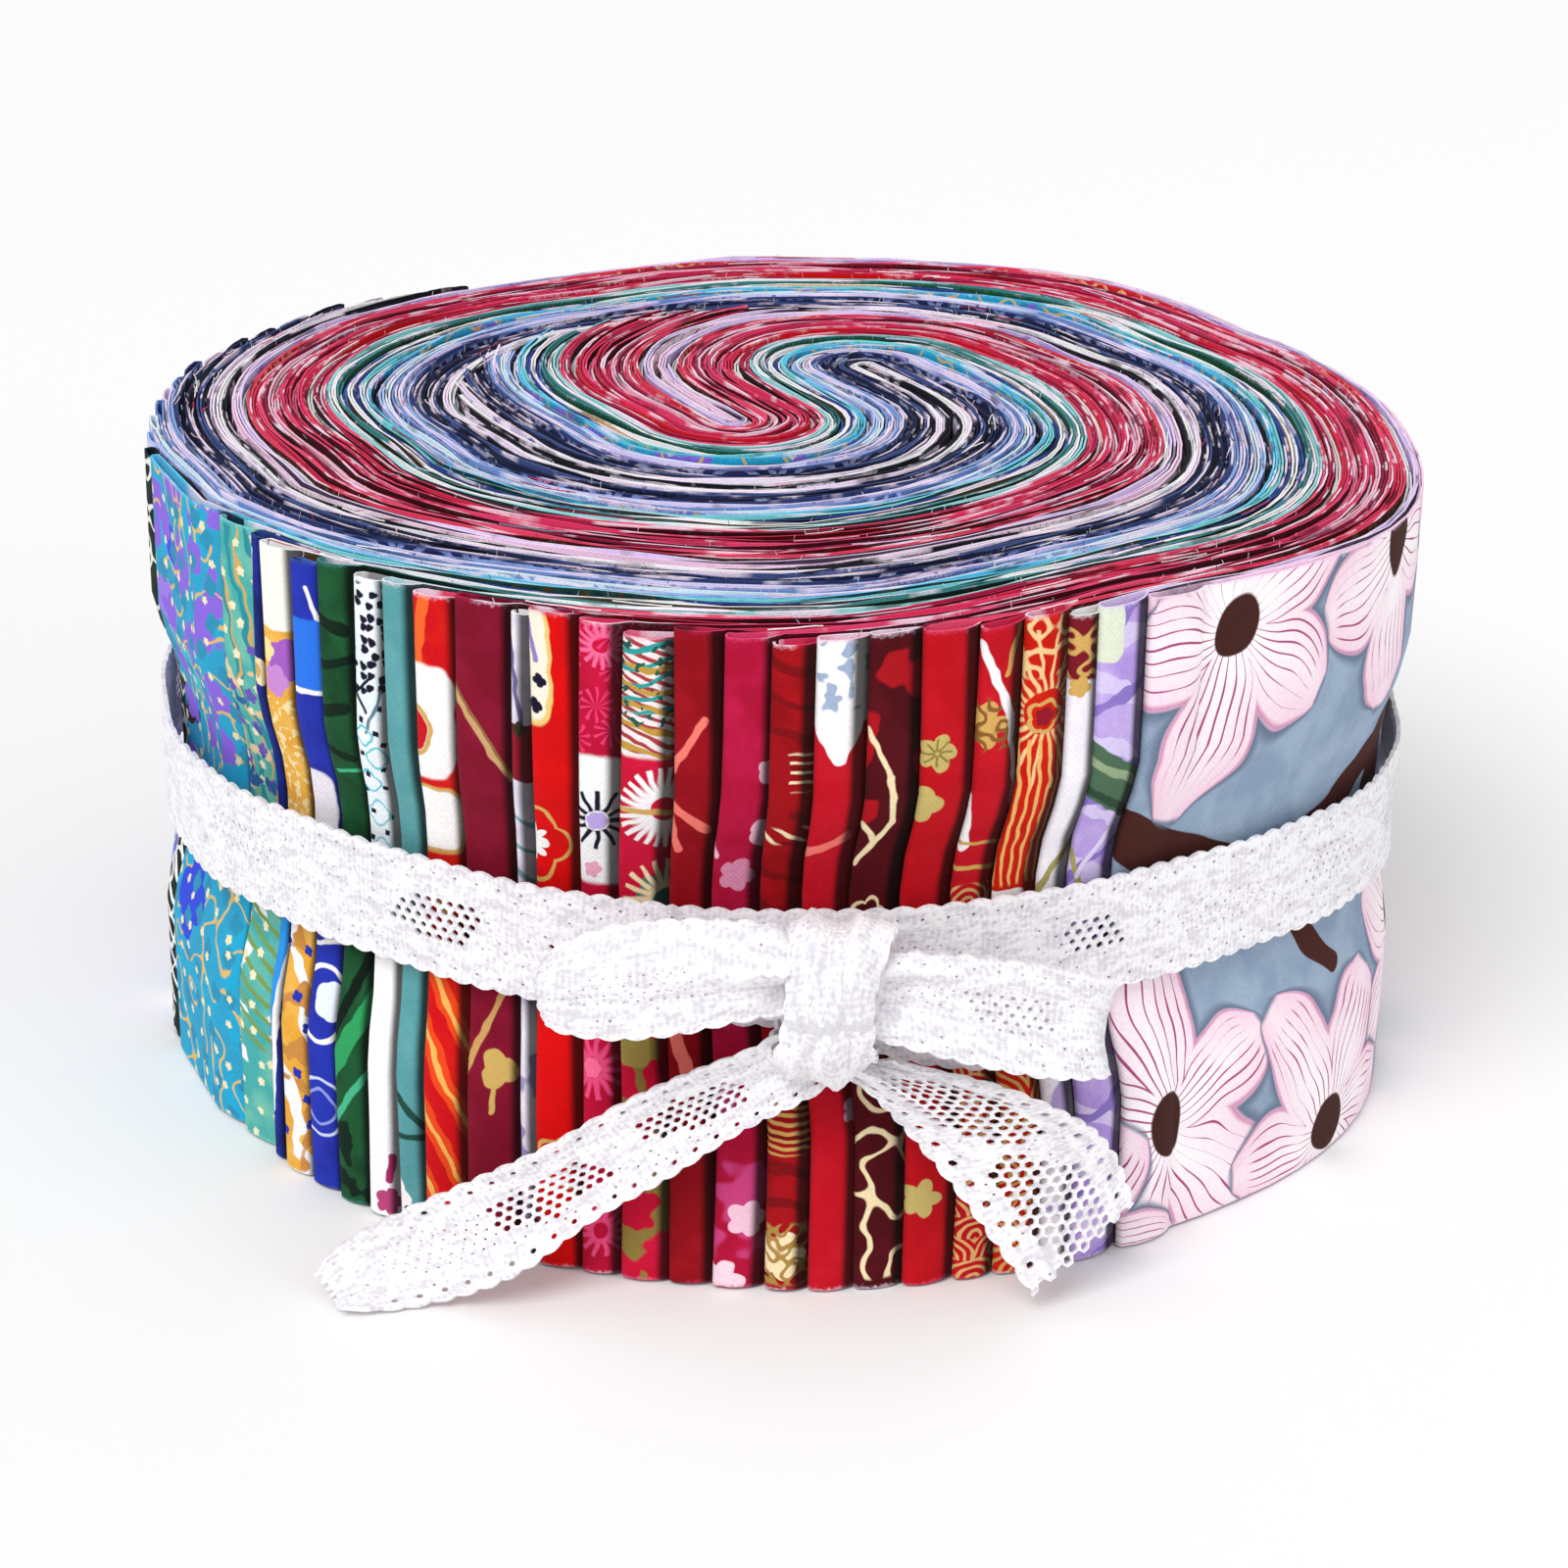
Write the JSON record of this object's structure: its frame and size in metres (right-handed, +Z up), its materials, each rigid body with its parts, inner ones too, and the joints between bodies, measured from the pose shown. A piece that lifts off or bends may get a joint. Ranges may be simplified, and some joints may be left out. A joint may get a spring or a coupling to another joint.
{
  "type": "roll of quilting fabric strips",
  "caption": "Round roll of folded quilting cotton strips, wound from an S-shaped core, standing on end and tied round the waist with a scalloped lace ribbon in a bow.",
  "frame": {"origin": "middle of the roll's lower end, on the surface it stands on", "axes": "+Z up along the winding axis, -Y towards the bow, +X to the right of the bow"},
  "size_m": [0.1275, 0.1401, 0.0645],
  "materials": {
    "strip_cotton": "printed woven quilting cotton in many prints, matte",
    "white_lace": "white cotton lace with net ground and scalloped edges, matte"
  },
  "bodies": {
    "root": {"strip_roll": "strip_cotton", "lace_band": "white_lace", "lace_knot": "white_lace", "lace_loop_left": "white_lace", "lace_loop_right": "white_lace", "lace_tail_left": "white_lace", "lace_tail_right": "white_lace"}
  },
  "joints": []
}
